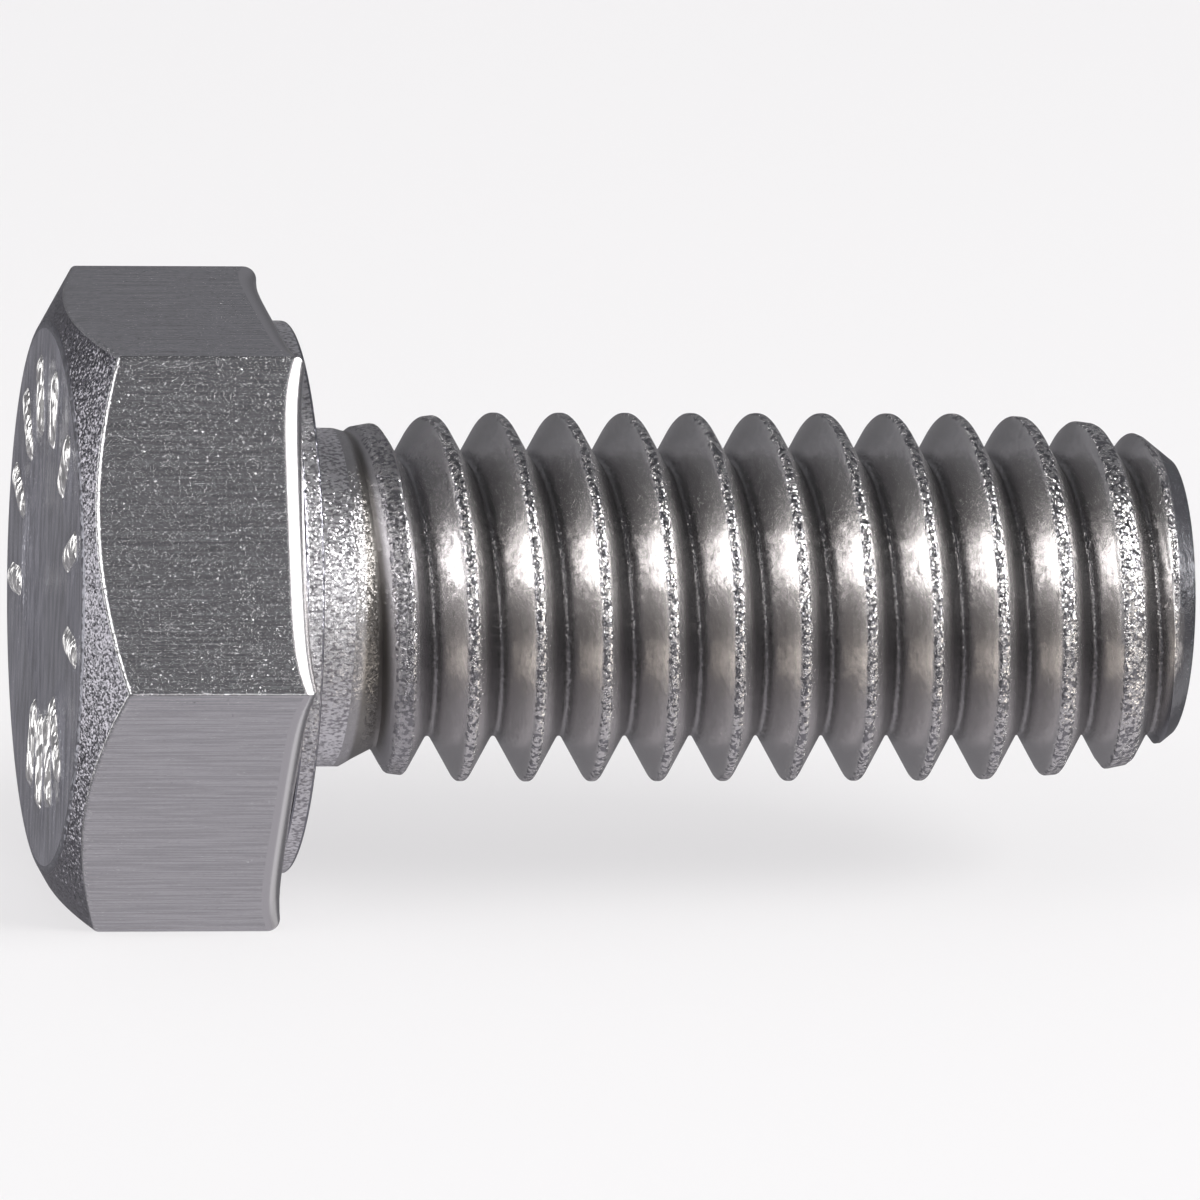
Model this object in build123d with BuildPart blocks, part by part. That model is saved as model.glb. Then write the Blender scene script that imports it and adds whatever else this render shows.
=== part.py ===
"""Hex cap screw, 5/16-18 UNC x 3/4 in, threaded to the head.

The whole screw is one piece: a length of stainless wire, cold-headed to the hexagon, with the
thread rolled on its shank. Millimetres. The origin is the centre of the bearing face under the
head, +X runs along the axis to the point, and +Z is square to one pair of wrench flats.
"""

import os
from math import radians, sqrt, tan

from build123d import *

INCH = 25.4

# Head
ACROSS_FLATS = 12.50
HEAD_HEIGHT = 5.08
TOP_FACE_RADIUS = 5.75
TOP_CHAMFER_ANGLE = 30.0
LOWER_EDGE_ROUNDING = 0.40
WASHER_FACE_RADIUS = 5.83
WASHER_FACE_THICKNESS = 0.40
WASHER_EDGE_ROUNDING = 0.08

# Raised head marks: two arcs of plain rounded bars, with no lettering
MARK_HEIGHT = 0.10
MARK_WIDTH = 0.50
UPPER_MARK_LENGTH = 1.60
UPPER_MARK_RADIUS = 4.25
UPPER_MARK_COUNT = 8
UPPER_MARK_STEP = 27.0
UPPER_ARC_CENTRE = 83.5
LOWER_MARK_LENGTH = 1.90
LOWER_MARK_RADIUS = 3.50
LOWER_MARK_COUNT = 4
LOWER_MARK_STEP = 20.0
LOWER_ARC_CENTRE = 252.0

# Shank
LENGTH = 0.75 * INCH
SHOULDER_RADIUS = 3.575
SHOULDER_END = 1.30
UNDER_HEAD_FILLET = 0.25
FULL_CREST_START = 3.50
TAPER_START = 14.40
TAPER_END = 17.10
TAPER_END_RADIUS = 3.74
POINT_START = 18.30
POINT_START_RADIUS = 3.54
POINT_RADIUS = 2.95

# Thread, right-hand: a 60 degree V with flat crests and narrow flat roots
PITCH = INCH / 18
MAJOR_RADIUS = 3.90
HALF_ANGLE = radians(30)
CREST_FLAT = PITCH / 8
ROOT_FLAT = PITCH / 12
CREST_AT_TOP = 3.15
RUNOUT_HALF_ANGLE = radians(27)
RUNOUT_END = 2.38

# Cutter for the groove, which reaches a little past the crests
CUTTER_CLEARANCE = 0.05
CUTTER_TURNS = 14
RUNOUT_TURNS = 3

minor_radius = MAJOR_RADIUS - (PITCH - CREST_FLAT - ROOT_FLAT) / 2 / tan(HALF_ANGLE)
mouth_height = MAJOR_RADIUS + CUTTER_CLEARANCE
mouth_half_width = ROOT_FLAT / 2 + (mouth_height - minor_radius) * tan(HALF_ANGLE)

# One turn of the groove, starting on the +Z side of the shank
with BuildPart() as groove_turn:
    with BuildLine() as groove_path:
        Helix(pitch=PITCH, height=PITCH, radius=MAJOR_RADIUS, direction=(1, 0, 0))
    with BuildSketch(Plane.XZ):
        with BuildLine():
            Polyline(
                (-ROOT_FLAT / 2, minor_radius),
                (-mouth_half_width, mouth_height),
                (mouth_half_width, mouth_height),
                (ROOT_FLAT / 2, minor_radius),
                close=True,
            )
        make_face()
    sweep(path=groove_path.line, is_frenet=True)

# The metal that stands next to the head, on which the groove runs out
with BuildPart() as runout_cone:
    cone_height = mouth_height + CUTTER_CLEARANCE
    cone_start = RUNOUT_END - (cone_height - minor_radius) / tan(RUNOUT_HALF_ANGLE)
    with BuildSketch(Plane.XY):
        with BuildLine():
            Polyline(
                (-2 * PITCH, 0),
                (-2 * PITCH, cone_height),
                (cone_start, cone_height),
                (RUNOUT_END, minor_radius),
                (RUNOUT_END, 0),
                close=True,
            )
        make_face()
    revolve(axis=Axis.X)

cutters = []
for turn in range(CUTTER_TURNS):
    with BuildPart() as cutter:
        with Locations((CREST_AT_TOP + (turn - 2.5) * PITCH, 0, 0)):
            add(groove_turn.part)
        if turn < RUNOUT_TURNS:
            add(runout_cone.part, mode=Mode.SUBTRACT)
    cutters.append(cutter.part)

with BuildPart() as hex_bolt:
    # Hexagon
    with BuildSketch(Plane.YZ.offset(-HEAD_HEIGHT)):
        RegularPolygon(radius=ACROSS_FLATS / 2, side_count=6, major_radius=False)
    extrude(amount=HEAD_HEIGHT - WASHER_FACE_THICKNESS)
    lower_face = hex_bolt.faces().sort_by(Axis.X)[-1]
    fillet(lower_face.edges(), radius=LOWER_EDGE_ROUNDING)

    # Chamfer round the top of the hexagon
    corner_radius = ACROSS_FLATS / sqrt(3)
    chamfer_depth = (corner_radius - TOP_FACE_RADIUS) * tan(radians(TOP_CHAMFER_ANGLE))
    with BuildSketch(Plane.XY):
        with BuildLine():
            Polyline(
                (-HEAD_HEIGHT, 0),
                (-HEAD_HEIGHT, TOP_FACE_RADIUS),
                (-HEAD_HEIGHT + chamfer_depth, corner_radius),
                (0, corner_radius),
                (0, 0),
                close=True,
            )
        make_face()
    revolve(axis=Axis.X, mode=Mode.INTERSECT)

    # Washer face
    with BuildSketch(Plane.YZ.offset(-WASHER_FACE_THICKNESS)):
        Circle(radius=WASHER_FACE_RADIUS)
    extrude(amount=WASHER_FACE_THICKNESS)
    fillet(hex_bolt.edges().group_by(Axis.X)[-1], radius=WASHER_EDGE_ROUNDING)

    # Shank, tapered near both ends, where a rolled thread's crests aren't fully formed
    with BuildSketch(Plane.XY):
        with BuildLine():
            Polyline(
                (UNDER_HEAD_FILLET, SHOULDER_RADIUS),
                (SHOULDER_END, SHOULDER_RADIUS),
                (FULL_CREST_START, MAJOR_RADIUS),
                (TAPER_START, MAJOR_RADIUS),
                (TAPER_END, TAPER_END_RADIUS),
                (POINT_START, POINT_START_RADIUS),
                (LENGTH, POINT_RADIUS),
                (LENGTH, 0),
                (-WASHER_FACE_THICKNESS, 0),
                (-WASHER_FACE_THICKNESS, SHOULDER_RADIUS + UNDER_HEAD_FILLET),
                (0, SHOULDER_RADIUS + UNDER_HEAD_FILLET),
            )
            RadiusArc(
                (0, SHOULDER_RADIUS + UNDER_HEAD_FILLET),
                (UNDER_HEAD_FILLET, SHOULDER_RADIUS),
                UNDER_HEAD_FILLET,
            )
        make_face()
    revolve(axis=Axis.X)

    # Thread
    for cutter_part in cutters:
        add(cutter_part, mode=Mode.SUBTRACT)

    # Raised marks on the top of the head
    with BuildSketch(Plane.YZ.offset(-HEAD_HEIGHT)):
        with PolarLocations(
            radius=UPPER_MARK_RADIUS,
            count=UPPER_MARK_COUNT,
            start_angle=UPPER_ARC_CENTRE - UPPER_MARK_STEP * (UPPER_MARK_COUNT - 1) / 2,
            angular_range=UPPER_MARK_STEP * (UPPER_MARK_COUNT - 1),
            endpoint=True,
        ):
            SlotOverall(width=UPPER_MARK_LENGTH, height=MARK_WIDTH)
        with PolarLocations(
            radius=LOWER_MARK_RADIUS,
            count=LOWER_MARK_COUNT,
            start_angle=LOWER_ARC_CENTRE - LOWER_MARK_STEP * (LOWER_MARK_COUNT - 1) / 2,
            angular_range=LOWER_MARK_STEP * (LOWER_MARK_COUNT - 1),
            endpoint=True,
        ):
            SlotOverall(width=LOWER_MARK_LENGTH, height=MARK_WIDTH)
    extrude(amount=-MARK_HEIGHT)

hex_bolt.part.label = "hex_bolt"

os.makedirs("parts", exist_ok=True)
export_step(hex_bolt.part, "parts/hex_bolt.step")
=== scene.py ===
"""Looks of the hex bolt: a rolled stainless steel cap screw on a pale floor under soft light.

The bolt is one piece of metal, so it is one mesh, which replaces the CAD node. The head is a
stack of rings with every edge rounded, and its raised marks stand on the top face. The shank is
a helical lattice, whose rows follow the thread, so that crests, flanks and roots are geometry.
The shape is worked out in millimetres, and Blender's own objects are in metres.
"""

import math

import bmesh
import bpy
import numpy as np
from mathutils import Matrix, Vector
from mathutils.geometry import delaunay_2d_cdt


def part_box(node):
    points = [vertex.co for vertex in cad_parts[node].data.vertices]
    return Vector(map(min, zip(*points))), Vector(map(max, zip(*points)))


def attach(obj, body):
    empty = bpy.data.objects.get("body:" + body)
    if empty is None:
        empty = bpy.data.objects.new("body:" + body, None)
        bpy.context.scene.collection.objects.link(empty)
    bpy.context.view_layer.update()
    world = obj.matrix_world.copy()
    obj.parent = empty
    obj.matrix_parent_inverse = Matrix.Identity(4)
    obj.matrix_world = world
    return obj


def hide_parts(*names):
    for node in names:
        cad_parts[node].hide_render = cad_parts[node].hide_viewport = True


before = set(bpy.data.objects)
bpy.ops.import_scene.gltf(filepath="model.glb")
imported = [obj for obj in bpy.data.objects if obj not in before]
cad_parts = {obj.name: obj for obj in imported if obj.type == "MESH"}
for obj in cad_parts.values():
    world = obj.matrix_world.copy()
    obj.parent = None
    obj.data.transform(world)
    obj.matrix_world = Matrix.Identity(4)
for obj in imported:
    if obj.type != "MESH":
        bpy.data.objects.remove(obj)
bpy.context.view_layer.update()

MM = 0.001
NODE = "hex_bolt"
TURN = 2 * math.pi

# Sizes that the CAD node gives, in millimetres
node_low, node_high = (np.array(corner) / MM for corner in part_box(NODE))
LENGTH = node_high[0]
ACROSS_FLATS = node_high[2] - node_low[2]
CORNER_RADIUS = ACROSS_FLATS / math.sqrt(3)

# Raised head marks: two arcs of plain rounded bars
MARK_HEIGHT = 0.10
MARK_WIDTH = 0.50
MARK_ARCS = (
    {"radius": 4.25, "length": 1.60, "count": 8, "step": 27.0, "centre": 83.5},
    {"radius": 3.50, "length": 1.90, "count": 4, "step": 20.0, "centre": 252.0},
)

# Head
HEAD_HEIGHT = -node_low[0] - MARK_HEIGHT
TOP_RADIUS = 5.75
TOP_PLATE_RADIUS = TOP_RADIUS - 0.30
CHAMFER_SLOPE = math.tan(math.radians(30))
WASHER_RADIUS = 5.83
WASHER_THICKNESS = 0.40
LOWER_ROUNDING = 0.46
CORNER_EAR = 0.12
GUARD = 0.02

# Shank and thread
SHOULDER_RADIUS = 3.575
SHOULDER_END = 1.30
MAJOR_RADIUS = 3.90
PITCH = 25.4 / 18
CREST_AT_TOP = 3.15
FLANK_SLOPE = 1 / math.tan(math.radians(30))
CREST_FLAT = PITCH / 8
ROOT_FLAT = PITCH / 12
MINOR_RADIUS = MAJOR_RADIUS - (PITCH - CREST_FLAT - ROOT_FLAT) / 2 * FLANK_SLOPE
RUNOUT_END = 2.38
RUNOUT_SLOPE = math.tan(math.radians(27))
SHANK_START = 1.00
CREST_ROUNDING = 0.10
EDGE_ROUNDING = 0.02
SHARP_ANGLE = math.radians(40)

# Distance below the bearing face, and the radius that the crests reach there
ENVELOPE = (
    (0.0, SHOULDER_RADIUS),
    (SHOULDER_END, SHOULDER_RADIUS),
    (1.76, 3.66),
    (2.35, 3.74),
    (3.50, 3.885),
    (4.40, MAJOR_RADIUS),
    (14.40, MAJOR_RADIUS),
    (15.70, 3.85),
    (17.10, 3.74),
    (17.70, 3.66),
    (18.30, 3.54),
    (LENGTH, 2.95),
)

# Finishes, as the numbers of the bolt's materials
TOP, MARKS, PAINTED_SHADE_EDGE, CHAMFER, FLATS, EDGE, WASHER, THREAD, TIP = range(9)


# --- Shape ----------------------------------------------------------------------------------


def smooth_min(a, b, blend):
    """The lower of a and b, rounded over where they are closer than blend."""
    near = np.maximum(blend - np.abs(a - b), 0) / blend
    return np.minimum(a, b) - near * near * blend / 4


def smooth_max(a, b, blend):
    return -smooth_min(-a, -b, blend)


def crest_shift(angle):
    """How far along the axis the crests stand, at an angle from +Y towards +Z."""
    return CREST_AT_TOP + PITCH * (angle / TURN - 0.25)


def thread_cut(x, angle):
    """Radius of the bottom of the thread's groove, which runs out on a cone near the head."""
    from_crest = (x - crest_shift(angle) + PITCH / 2) % PITCH - PITCH / 2
    past_root = (PITCH - ROOT_FLAT) / 2 - np.abs(from_crest)
    groove = MINOR_RADIUS + smooth_max(past_root * FLANK_SLOPE, 0.0, 0.10)
    runout = MINOR_RADIUS + (RUNOUT_END - x) * RUNOUT_SLOPE
    return smooth_max(groove, runout, 0.06)


def crest_limit(x):
    places, radii = zip(*ENVELOPE)
    return np.interp(x, places, radii)


def shank_radius(x, angle):
    return smooth_min(crest_limit(x), thread_cut(x, angle), CREST_ROUNDING)


def hexagon_radius(angle):
    """Distance from the axis to the hexagon's side, its six edges barely rounded."""
    turn = angle % math.radians(60)
    flats = [ACROSS_FLATS / 2 / np.cos(turn - math.radians(a)) for a in (30, -30, 90)]
    two = smooth_min(flats[0], flats[1], EDGE_ROUNDING)
    return smooth_min(two, flats[2], EDGE_ROUNDING)


def column_angles():
    """Angles of the mesh's columns, closest together at the hexagon's six edges."""
    near = [0.0, 0.15, 0.4, 0.9]
    wide = list(np.linspace(near[-1], 30.0, 12)[1:])
    half = near + wide
    sector = half + [60.0 - a for a in half[-2:0:-1]]
    return np.radians([a + 60.0 * i for i in range(6) for a in sector])


def rounded(points, corners, finish):
    """A polyline with its inner corners rounded, and the finish of the strip up to each point.

    A corner is its radius, its number of steps, its own finish and that of the run after it.
    A guard point on either side of its arc keeps the shading of the flat runs flat.
    """
    points = [np.array(p, float) for p in points]
    out = [points[0]]
    strips = [finish]
    for i, (radius, steps, arc_finish, run_finish) in enumerate(corners):
        corner = points[i + 1]
        a = (points[i] - corner) / np.linalg.norm(points[i] - corner)
        b = (points[i + 2] - corner) / np.linalg.norm(points[i + 2] - corner)
        half = math.acos(a @ b) / 2
        centre = corner + (a + b) / np.linalg.norm(a + b) * radius / math.sin(half)
        start = corner + a * radius / math.tan(half)
        end = corner + b * radius / math.tan(half)
        turn = math.pi - 2 * half
        out.append(start + a * GUARD)
        for k in range(steps + 1):
            from_start = math.sin((1 - k / steps) * turn) / math.sin(turn)
            from_end = math.sin(k / steps * turn) / math.sin(turn)
            out.append(centre + from_start * (start - centre) + from_end * (end - centre))
        out.append(end + b * GUARD)
        strips += [finish, finish] + [arc_finish] * steps + [run_finish]
        finish = run_finish
    out.append(points[-1])
    strips.append(finish)
    return out, strips


def head_outline(angle):
    """(x, radius) from the top face's edge to the shoulder, at one angle, and its finishes."""
    side = float(hexagon_radius(angle))
    flat = ACROSS_FLATS / 2
    ear = max(0.0, (side - flat) / (CORNER_RADIUS - flat)) ** 3
    points = (
        (-HEAD_HEIGHT, TOP_PLATE_RADIUS),
        (-HEAD_HEIGHT, TOP_RADIUS),
        (-HEAD_HEIGHT + (side - TOP_RADIUS) * CHAMFER_SLOPE, side),
        (-WASHER_THICKNESS + CORNER_EAR * ear, side),
        (-WASHER_THICKNESS, WASHER_RADIUS),
        (0, WASHER_RADIUS),
        (0, SHOULDER_RADIUS),
        (SHANK_START, float(shank_radius(SHANK_START, angle))),
    )
    # The arcs with the dark edge finish are painted shade.
    corners = (
        (0.35, 4, PAINTED_SHADE_EDGE, CHAMFER),
        (0.14, 4, FLATS, FLATS),
        (LOWER_ROUNDING * (1 - 0.4 * ear), 8, EDGE, WASHER),
        (0.06, 2, PAINTED_SHADE_EDGE, WASHER),
        (0.06, 3, PAINTED_SHADE_EDGE, WASHER),
        (0.25, 4, WASHER, WASHER),
    )
    return rounded(points, corners, TOP)


# --- Mesh -----------------------------------------------------------------------------------


class Builder:
    """Vertices and faces of the bolt, in millimetres. A face carries its material's index."""

    def __init__(self):
        self.vertices = []
        self.faces = []
        self.finishes = []
        self.crests = []

    def points(self, points, crests=None):
        """Adds points, each with how far the crest's flat reaches past the flank there."""
        first = len(self.vertices)
        self.vertices.extend(points)
        self.crests.extend([0.0] * len(self.vertices[first:]) if crests is None else crests)
        return list(range(first, len(self.vertices)))

    def around(self, angles, x, radius):
        """A ring of points about the axis, at one x and radius or at one for each angle."""
        x = np.broadcast_to(x, angles.shape)
        radius = np.broadcast_to(radius, angles.shape)
        return self.points(zip(x, radius * np.cos(angles), radius * np.sin(angles)))

    def face(self, corners, finish):
        self.faces.append(tuple(corners))
        self.finishes.append(finish)

    def bridge(self, near, far, finish):
        """A strip of faces between two closed rings of as many points."""
        for i in range(len(near)):
            self.face((near[i - 1], near[i], far[i], far[i - 1]), finish)

    def object(self, name, materials):
        mesh = bpy.data.meshes.new(name)
        mesh.from_pydata([Vector(v) * MM for v in self.vertices], [], self.faces)
        mesh.polygons.foreach_set("material_index", self.finishes)
        for material in materials:
            mesh.materials.append(material)
        crest = mesh.attributes.new("crest", "FLOAT", "POINT")
        crest.data.foreach_set("value", np.array(self.crests, np.float32))
        joined = bmesh.new()
        joined.from_mesh(mesh)
        bmesh.ops.remove_doubles(joined, verts=joined.verts, dist=1e-5 * MM)
        bmesh.ops.recalc_face_normals(joined, faces=joined.faces)
        for edge in joined.edges:
            edge.smooth = edge.calc_face_angle(0) < SHARP_ANGLE
        joined.to_mesh(mesh)
        joined.free()
        mesh.shade_smooth()
        piece = bpy.data.objects.new(name, mesh)
        bpy.context.scene.collection.objects.link(piece)
        return piece


def bar_outline(arc, index, grow):
    """A bar's rounded outline on the top face as (y, z) points, grown or shrunk by a distance."""
    degrees = arc["centre"] + arc["step"] * (index - (arc["count"] - 1) / 2)
    out = Vector((math.cos(math.radians(degrees)), math.sin(math.radians(degrees))))
    end_radius = MARK_WIDTH / 2 + grow
    reach = (arc["length"] - MARK_WIDTH) / 2
    points = []
    for i in range(18):
        turn = math.pi * (i % 9) / 8 - math.pi / 2
        side = 1 if i < 9 else -1
        local = Vector((reach + end_radius * math.cos(turn), end_radius * math.sin(turn))) * side
        along = arc["radius"] + local.x
        points.append((along * out.x - local.y * out.y, along * out.y + local.y * out.x))
    return points


def add_top_plate(bolt, angles):
    """The flat top inside the rim, with the raised bars standing on it."""
    circle = [(TOP_PLATE_RADIUS * math.cos(a), TOP_PLATE_RADIUS * math.sin(a)) for a in angles]
    outlines = [circle]
    bars = [(arc, i) for arc in MARK_ARCS for i in range(arc["count"])]
    outlines.extend(bar_outline(arc, i, 0.06) for arc, i in bars)
    flat = [Vector(p) for outline in outlines for p in outline]
    loops = []
    for outline in outlines:
        first = sum(len(loop) for loop in loops)
        loops.append(list(range(first, first + len(outline))))
    points, _, faces, _, _, sources = delaunay_2d_cdt(flat, [], loops, 1, 1e-6)
    plate = bolt.points([(-HEAD_HEIGHT, p.x, p.y) for p in points])
    for corners, source in zip(faces, sources):
        if source == [0]:
            bolt.face([plate[i] for i in corners], TOP)

    # Growth of the outline and height above the plate, from a bar's foot to its top
    profile = ((0.06, 0.0), (0.01, 0.03), (-0.05, 0.065), (-0.12, 0.088), (-0.20, MARK_HEIGHT))
    for arc, i in bars:
        below = None
        for grow, height in profile:
            ring = bolt.points(
                [(-HEAD_HEIGHT - height, y, z) for y, z in bar_outline(arc, i, grow)]
            )
            if below:
                bolt.bridge(below, ring, MARKS)
            below = ring
        bolt.face(below, MARKS)


def add_head(bolt, angles):
    add_top_plate(bolt, angles)
    strips = head_outline(0.0)[1]
    outlines = np.array([head_outline(angle)[0] for angle in angles])
    above = bolt.around(angles, outlines[:, 0, 0], outlines[:, 0, 1])
    for i in range(1, len(strips)):
        ring = bolt.around(angles, outlines[:, i, 0], outlines[:, i, 1])
        bolt.bridge(above, ring, strips[i])
        above = ring


def pitch_steps():
    """Where the rows of one pitch stand, from a root to the next, closest over the crest."""
    up = [0.0, 0.02, 0.04, 0.06, 0.08, 0.10, 0.12, 0.15, 0.20, 0.32, 0.46, 0.53]
    up += [0.60, 0.615, 0.63, 0.645, 0.66, 0.68]
    return np.array([-s for s in up[:0:-1]] + up + [PITCH / 2])


def add_shank(bolt, angles):
    """The helical lattice. Going once round the axis moves a row on by one pitch."""
    steps = pitch_steps()
    turns = range(-3, int(LENGTH / PITCH) + 2)
    rows = np.array([turn * PITCH + step for turn in turns for step in steps])
    columns = []
    for angle in angles:
        x = np.clip(crest_shift(angle) + rows, SHANK_START, LENGTH)
        radius = shank_radius(x, angle)
        y, z = radius * math.cos(angle), radius * math.sin(angle)
        crests = thread_cut(x, angle) - crest_limit(x)
        columns.append(bolt.points(zip(x, y, z), crests))
    columns.append(columns[0][len(steps):])
    for here, there in zip(columns, columns[1:]):
        for i in range(len(there) - 1):
            bolt.face((here[i], here[i + 1], there[i + 1], there[i]), THREAD)


def add_tip(bolt, angles):
    rim = bolt.around(angles, LENGTH, shank_radius(LENGTH, angles))
    for radius in (2.6, 1.6, 0.6):
        ring = bolt.around(angles, LENGTH, radius)
        bolt.bridge(rim, ring, TIP)
        rim = ring
    centre = bolt.points([(LENGTH, 0, 0)])[0]
    for a, b in zip(rim, rim[1:] + rim[:1]):
        bolt.face((a, b, centre), TIP)


# --- Materials ------------------------------------------------------------------------------


class Metal:
    """A stainless steel with its own small relief. Its methods add nodes and return outputs."""

    def __init__(self, name, color, roughness):
        self.material = bpy.data.materials.new(name)
        self.material.use_nodes = True
        self.tree = self.material.node_tree
        self.shader = self.tree.nodes["Principled BSDF"]
        self.shader.inputs["Base Color"].default_value = (*color, 1)
        self.shader.inputs["Metallic"].default_value = 1
        self.shader.inputs["Roughness"].default_value = roughness
        place = self.node("ShaderNodeTexCoord", {}, "Object")
        self.place = self.vector("SCALE", place, Scale=1 / MM)

    def node(self, kind, inputs, output=0, **settings):
        node = self.tree.nodes.new(kind)
        for key, value in settings.items():
            setattr(node, key, value)
        for key, value in inputs.items():
            if isinstance(value, bpy.types.NodeSocket):
                self.tree.links.new(value, node.inputs[key])
            else:
                node.inputs[key].default_value = value
        return node.outputs[output]

    def math(self, operation, *values):
        return self.node("ShaderNodeMath", dict(enumerate(values)), operation=operation)

    def vector(self, operation, *values, **named):
        inputs = {**dict(enumerate(values)), **named}
        output = "Value" if operation == "DOT_PRODUCT" else "Vector"
        return self.node("ShaderNodeVectorMath", inputs, output, operation=operation)

    def stretched(self, place, x, y, z):
        return self.vector("MULTIPLY", place, (x, y, z))

    def noise(self, place, per_mm=1.0, detail=2.0):
        inputs = {"Vector": place, "Scale": per_mm, "Detail": detail}
        return self.node("ShaderNodeTexNoise", inputs, "Fac")

    def facets(self, place, per_mm, share=1.0):
        """Height of small flat facets, each with a lean of its own, or of a share of them."""
        inputs = {"Vector": place, "Scale": per_mm}
        centre = self.node("ShaderNodeTexVoronoi", inputs, "Position")
        chance = self.node("ShaderNodeTexVoronoi", inputs, "Color")
        lean = self.vector("SUBTRACT", chance, (0.5, 0.5, 0.5))
        local = self.vector("SUBTRACT", place, centre)
        height = self.vector("DOT_PRODUCT", local, lean)
        if share == 1:
            return height
        chosen = self.node("ShaderNodeTexWhiteNoise", {"Vector": centre}, "Value")
        return self.math("MULTIPLY", height, self.between(chosen, 1 - share, 1 - share / 2))

    def between(self, value, low, high, to_low=0.0, to_high=1.0):
        inputs = {0: value, 1: low, 2: high, 3: to_low, 4: to_high}
        return self.node("ShaderNodeMapRange", inputs, interpolation_type="SMOOTHSTEP")

    def sum(self, *terms):
        """Adds heights, each given as (output, height in millimetres)."""
        total = 0.0
        for value, height in terms:
            total = self.math("MULTIPLY_ADD", value, height, total)
        return total

    def relief(self, height):
        """Height in millimetres, as a bump."""
        inputs = {"Height": height, "Strength": 1.0, "Distance": MM}
        self.tree.links.new(self.node("ShaderNodeBump", inputs), self.shader.inputs["Normal"])

    def roughen(self, value):
        self.tree.links.new(value, self.shader.inputs["Roughness"])

    def mixed(self, factor, low, high):
        """A colour from low to high, either of which may be another mix."""
        mix = self.tree.nodes.new("ShaderNodeMix")
        mix.data_type = "RGBA"
        self.tree.links.new(factor, mix.inputs[0])
        for socket, color in ((mix.inputs[6], low), (mix.inputs[7], high)):
            if isinstance(color, bpy.types.NodeSocket):
                self.tree.links.new(color, socket)
            else:
                socket.default_value = (*color, 1)
        return mix.outputs[2]

    def tint(self, factor, low, high):
        color = self.mixed(factor, low, high)
        self.tree.links.new(color, self.shader.inputs["Base Color"])


STEEL = (0.56, 0.55, 0.56)


def head_top():
    """The punch's face: smooth, with faint streaks across it."""
    metal = Metal("head_top", (0.54, 0.54, 0.59), 0.22)
    streaks = metal.noise(metal.stretched(metal.place, 1, 5, 0.5), detail=4)
    clouds = metal.noise(metal.stretched(metal.place, 1, 3, 0.8), detail=5)
    facets = metal.facets(metal.place, per_mm=16, share=0.25)
    metal.relief(metal.sum((streaks, 0.011), (facets, 0.24)))
    metal.tint(metal.between(clouds, 0.35, 0.65), (0.40, 0.40, 0.445), (0.68, 0.68, 0.745))
    return metal.material


def raised_marks():
    """Metal that filled the punch's engraved bars: rough, streaked across, bright."""
    metal = Metal("raised_marks", (0.92, 0.91, 0.90), 0.28)
    streaks = metal.facets(metal.stretched(metal.place, 1, 1, 0.25), per_mm=16)
    metal.relief(metal.sum((streaks, 1.5)))
    return metal.material


def painted_shade_edge():
    """The rounded step that the punch left round the top, and the washer face's edges, painted
    dark: painted shade.
    """
    metal = Metal("painted_shade_edge", (0.24, 0.24, 0.27), 0.30)
    metal.relief(metal.sum((metal.facets(metal.place, per_mm=18), 0.4)))
    return metal.material


def grainy(name, dark, pale, per_mm, lean, roughness):
    """Metal that the dies pressed without polishing it: fine bright and dark grains."""
    metal = Metal(name, pale, roughness)
    grain = metal.noise(metal.stretched(metal.place, 0.6, 1, 1), 16, detail=3)
    metal.relief(metal.sum((metal.facets(metal.place, per_mm), lean)))
    metal.tint(metal.between(grain, 0.38, 0.56), dark, pale)
    return metal.material


def drawn_flats():
    """The trimmed sides of the hexagon: fine broken lines along the axis, and fine pits."""
    metal = Metal("drawn_flats", STEEL, 0.20)
    lines = metal.noise(metal.stretched(metal.place, 0.35, 10, 10), detail=6)
    hairs = metal.noise(metal.stretched(metal.place, 0.5, 24, 24), detail=5)
    grain = metal.facets(metal.stretched(metal.place, 0.4, 1, 1), per_mm=30)
    pits = metal.facets(metal.place, per_mm=30, share=0.20)
    metal.relief(metal.sum((lines, 0.0050), (grain, 0.15), (pits, 0.33)))
    metal.tint(metal.between(hairs, 0.38, 0.60), (0.48, 0.475, 0.485), (0.58, 0.575, 0.585))
    return metal.material


def smooth_edge():
    """The rounding under the hexagon, which the die left smooth."""
    return Metal("smooth_edge", STEEL, 0.23).material


def thread_places(metal):
    """The distance from the head, that from the nearest crest, and a place along the thread."""
    x, y, z = (
        metal.node("ShaderNodeSeparateXYZ", {0: metal.place}, axis) for axis in range(3)
    )
    turn = metal.math("DIVIDE", metal.math("ARCTAN2", z, y), TURN)
    from_crest = metal.math("SUBTRACT", x, metal.math("MULTIPLY", turn, PITCH))
    from_crest = metal.math("SUBTRACT", from_crest, CREST_AT_TOP - PITCH / 4)
    across = metal.math("WRAP", from_crest, PITCH / 2, -PITCH / 2)
    along = metal.node("ShaderNodeCombineXYZ", {0: across, 1: y, 2: z})
    return x, across, along


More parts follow.
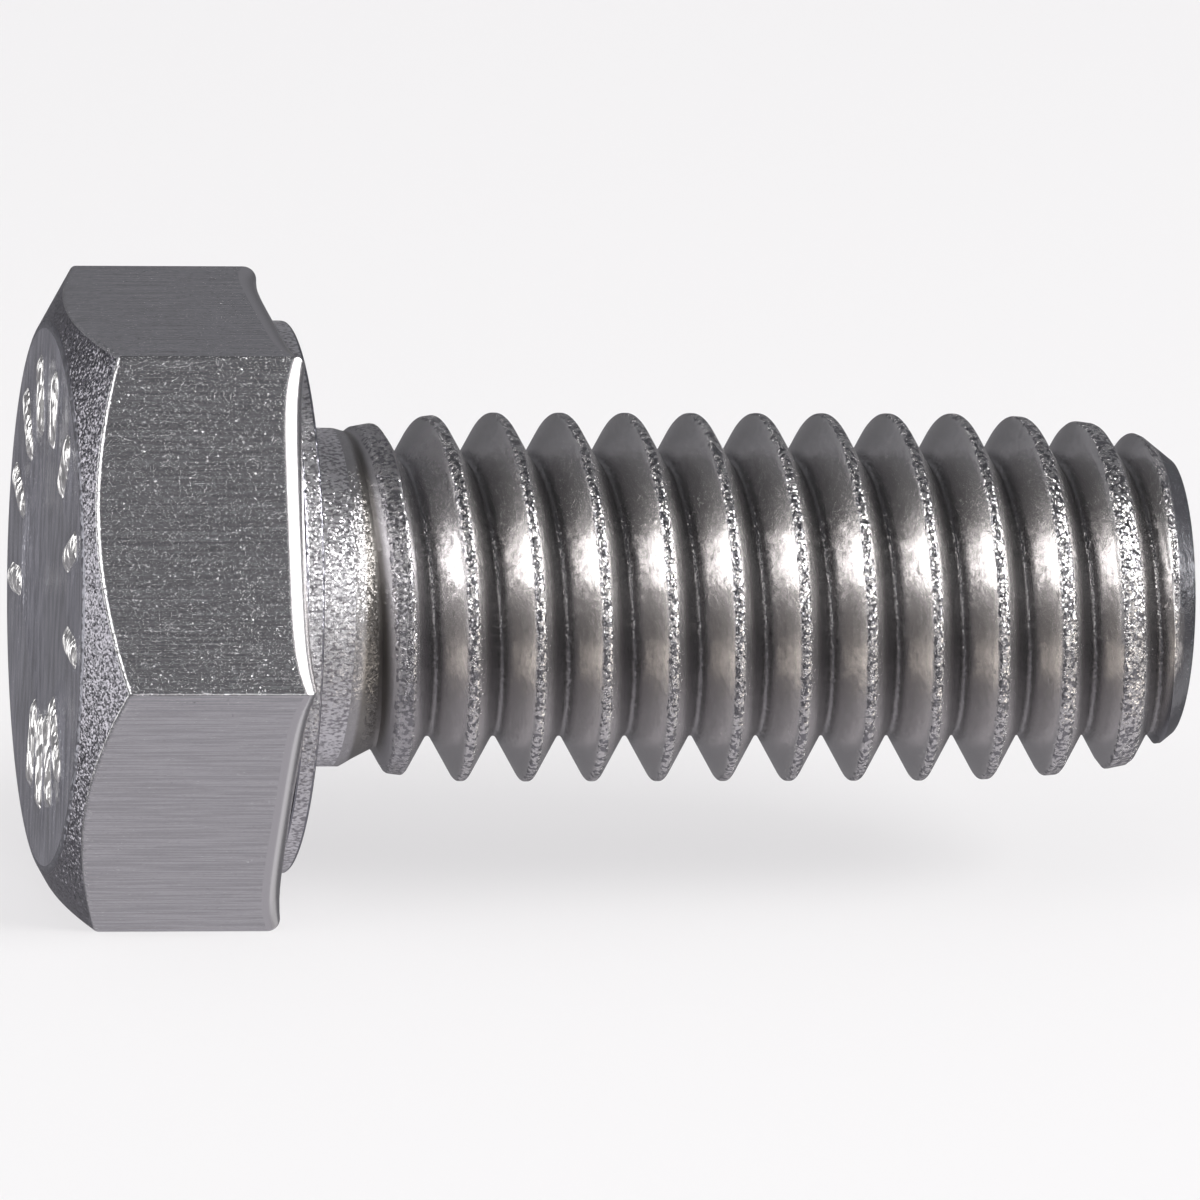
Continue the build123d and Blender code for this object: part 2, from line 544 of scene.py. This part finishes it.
def rolled_thread():
    """Flanks polished by the dies, with a rough broken seam along the crest."""
    metal = Metal("rolled_thread", STEEL, 0.22)
    x, across, along = thread_places(metal)
    lines = metal.noise(metal.stretched(along, 12, 0.8, 0.8), detail=4)
    dents = metal.noise(metal.stretched(along, 4, 2.2, 2.2), detail=4)

    # The seam stands where the crest's flat reaches past the flanks. The roots and the metal
    # that the dies didn't reach are rough too.
    crest = metal.node("ShaderNodeAttribute", {}, "Fac", attribute_name="crest")
    wander = metal.noise(metal.place, 5, detail=3)
    edge = metal.math("MULTIPLY_ADD", wander, 0.20, metal.math("SUBTRACT", crest, 0.05))
    seam = metal.between(edge, 0.00, 0.03)
    depth = metal.math("ABSOLUTE", across)
    root = metal.between(depth, 0.53, 0.60)
    formed = metal.math("MULTIPLY", metal.between(x, 1.2, 1.5), metal.between(x, 18.70, 18.55))
    seam = metal.math("MULTIPLY", seam, formed)
    blank = metal.between(x, 1.30, 1.15)
    rough = metal.math("MAXIMUM", seam, metal.math("MULTIPLY_ADD", root, 0.7, 0.08))
    rough = metal.math("MAXIMUM", rough, metal.math("MULTIPLY", blank, 0.7))
    grain = metal.math("MULTIPLY", rough, metal.facets(metal.place, per_mm=28))
    mottle = metal.facets(metal.place, per_mm=11, share=0.6)
    metal.relief(metal.sum((lines, 0.004), (dents, 0.014), (grain, 0.62), (mottle, 0.10)))
    metal.roughen(metal.between(x, 1.6, 2.3, 0.36, 0.25))

    # Painted shade low on the flanks and in the first groove; the flanks are darker near the
    # head, and the seam has darker patches
    gaps = metal.between(metal.noise(metal.place, 9, detail=2), 0.52, 0.44)
    # Painted shade: darker over the tip-facing flank, and low on the head-facing flank towards
    # the root.
    flank_shade = metal.math(
        "MAXIMUM", metal.between(across, 0.20, 0.45), metal.between(across, -0.50, -0.63)
    )
    # Painted shade in the first groove near the head.
    first = metal.math("MULTIPLY", metal.between(x, 2.1, 1.8), metal.between(depth, 0.28, 0.42))
    flank = metal.mixed(flank_shade, (0.70, 0.685, 0.68), (0.34, 0.33, 0.33))
    flank = metal.mixed(metal.between(x, 2.9, 2.3), flank, (0.52, 0.51, 0.52))
    flank = metal.mixed(first, flank, (0.22, 0.21, 0.20))
    flank = metal.mixed(blank, flank, (0.44, 0.43, 0.44))
    seamed = metal.mixed(metal.math("MULTIPLY", seam, gaps), flank, (0.28, 0.275, 0.29))
    # Painted shade: the point's cone past 18.55 mm is tinted dark.
    metal.tint(metal.between(x, 18.55, 18.68), seamed, (0.20, 0.20, 0.215))
    return metal.material


def finishes():
    return {
        TOP: head_top(),
        MARKS: raised_marks(),
        PAINTED_SHADE_EDGE: painted_shade_edge(),
        CHAMFER: grainy("chamfer", (0.165, 0.165, 0.18), (0.345, 0.335, 0.37), 24, 0.56, 0.23),
        FLATS: drawn_flats(),
        EDGE: smooth_edge(),
        WASHER: grainy("washer_face", (0.35, 0.34, 0.36), (0.80, 0.79, 0.81), 26, 0.42, 0.35),
        THREAD: rolled_thread(),
        TIP: grainy("cut_tip", (0.50, 0.49, 0.51), (0.62, 0.61, 0.63), 24, 0.18, 0.35),
    }


# --- Floor, light and camera ----------------------------------------------------------------


def floor():
    """A pale light table, so that shadows are faint. The polished steel doesn't mirror it."""
    mesh = bpy.data.meshes.new("floor")
    half = 3.0
    z = -ACROSS_FLATS / 2 * MM
    corners = [(-half, -half, z), (half, -half, z), (half, half, z), (-half, half, z)]
    mesh.from_pydata(corners, [], [(0, 1, 2, 3)])
    material = bpy.data.materials.new("floor")
    material.use_nodes = True
    shader = material.node_tree.nodes["Principled BSDF"]
    shader.inputs["Base Color"].default_value = (0.22, 0.22, 0.22, 1)
    shader.inputs["Emission Color"].default_value = (1.0, 0.985, 1.0, 1)
    shader.inputs["Emission Strength"].default_value = 0.64
    shader.inputs["Roughness"].default_value = 1
    shader.inputs["Specular IOR Level"].default_value = 0
    mesh.materials.append(material)
    piece = bpy.data.objects.new("floor", mesh)
    piece.visible_glossy = False
    piece.visible_shadow = False
    bpy.context.scene.collection.objects.link(piece)


def softbox(name, toward, distance, size, radiance, color, mirrored=True):
    """An area light that faces the bolt. Its brightness is what a mirror would show."""
    light = bpy.data.lights.new(name, "AREA")
    light.shape = "RECTANGLE"
    light.size, light.size_y = size
    light.energy = radiance * math.pi * light.size * light.size_y
    light.color = color
    lamp = bpy.data.objects.new(name, light)
    toward = Vector(toward).normalized()
    lamp.location = toward * distance
    lamp.rotation_euler = toward.to_track_quat("Z", "Y").to_euler()
    lamp.visible_glossy = mirrored
    bpy.context.scene.collection.objects.link(lamp)


def surroundings():
    """A dim room for the steel to mirror, paler underneath."""
    world = bpy.data.worlds.new("studio")
    world.use_nodes = True
    nodes, links = world.node_tree.nodes, world.node_tree.links
    place = nodes.new("ShaderNodeTexCoord")
    split = nodes.new("ShaderNodeSeparateXYZ")
    ramp = nodes.new("ShaderNodeValToRGB")
    height = nodes.new("ShaderNodeMapRange")
    height.inputs["From Min"].default_value = -1
    links.new(place.outputs["Generated"], split.inputs[0])
    links.new(split.outputs["Z"], height.inputs["Value"])
    links.new(height.outputs[0], ramp.inputs[0])
    stops = ((0.0, 0.58), (0.08, 0.55), (0.17, 0.25), (0.25, 0.18), (0.37, 0.22))
    stops += ((0.50, 0.12), (0.64, 0.275), (0.76, 0.19), (0.84, 0.165), (0.93, 0.11))
    stops += ((1.0, 0.10),)
    for position, _ in stops[1:-1]:
        ramp.color_ramp.elements.new(position)
    for element, (position, level) in zip(ramp.color_ramp.elements, stops):
        green = 0.965 + 0.045 * position
        blue = 1.03 + 0.06 * position
        element.color = (level, level * green, level * blue, 1)
    links.new(ramp.outputs[0], nodes["Background"].inputs["Color"])
    bpy.context.scene.world = world


def lights():
    white = (1, 0.99, 0.98)
    warm = (1, 0.93, 0.84)
    surroundings()
    softbox("overhead", (0.05, 0.05, 1), 0.50, (1.50, 1.50), 0.5, white, mirrored=False)
    softbox("left", (-0.93, 0.33, -0.12), 0.36, (0.17, 0.32), 1.9, white)
    softbox("left_back", (-0.76, 0.63, -0.16), 0.36, (0.12, 0.20), 1.2, white)
    softbox("left_front", (-0.74, -0.43, 0.52), 0.35, (0.22, 0.22), 4.0, white)
    softbox("front", (0.22, -0.95, 0.20), 0.42, (0.26, 0.24), 1.1, white)
    softbox("right_front", (0.755, -0.455, 0.585), 0.35, (0.22, 0.12), 12.5, white)
    softbox("right_edge", (0.92, -0.19, 0.37), 0.35, (0.15, 0.16), 5.0, white)
    softbox("right_glow", (0.80, -0.52, 0.02), 0.37, (0.30, 0.80), 0.36, warm)
    softbox("right_low", (0.70, -0.50, -0.44), 0.35, (0.18, 0.09), 2.2, warm)
    softbox("right_under", (0.80, 0.15, -0.62), 0.36, (0.15, 0.24), 0.50, white)


def camera():
    """A long lens, a little above the axis and turned a little towards the head's top."""
    right = Vector((0.9848, -0.1666, 0.0487)).normalized()
    back = Vector((-0.1736, -0.9452, 0.2764)).normalized()
    up = back.cross(right).normalized()
    right = up.cross(back)
    aim = Vector((6.8, 0, 0)) * MM - up * 0.063 * MM
    distance = 0.328
    data = bpy.data.cameras.new("camera")
    data.sensor_width = 36
    data.lens = 465
    data.clip_start = 0.01
    eye = bpy.data.objects.new("camera", data)
    rotation = Matrix((right, up, back)).transposed().to_4x4()
    eye.matrix_world = Matrix.Translation(aim + back * distance) @ rotation
    bpy.context.scene.collection.objects.link(eye)
    bpy.context.scene.camera = eye


# --- Build ----------------------------------------------------------------------------------

angles = column_angles()
bolt = Builder()
add_head(bolt, angles)
add_shank(bolt, angles)
add_tip(bolt, angles)
materials = finishes()
piece = bolt.object("bolt", [materials[number] for number in sorted(materials)])
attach(piece, "root")
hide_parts(NODE)

floor()
lights()
camera()
bpy.context.scene.view_settings.view_transform = "Standard"
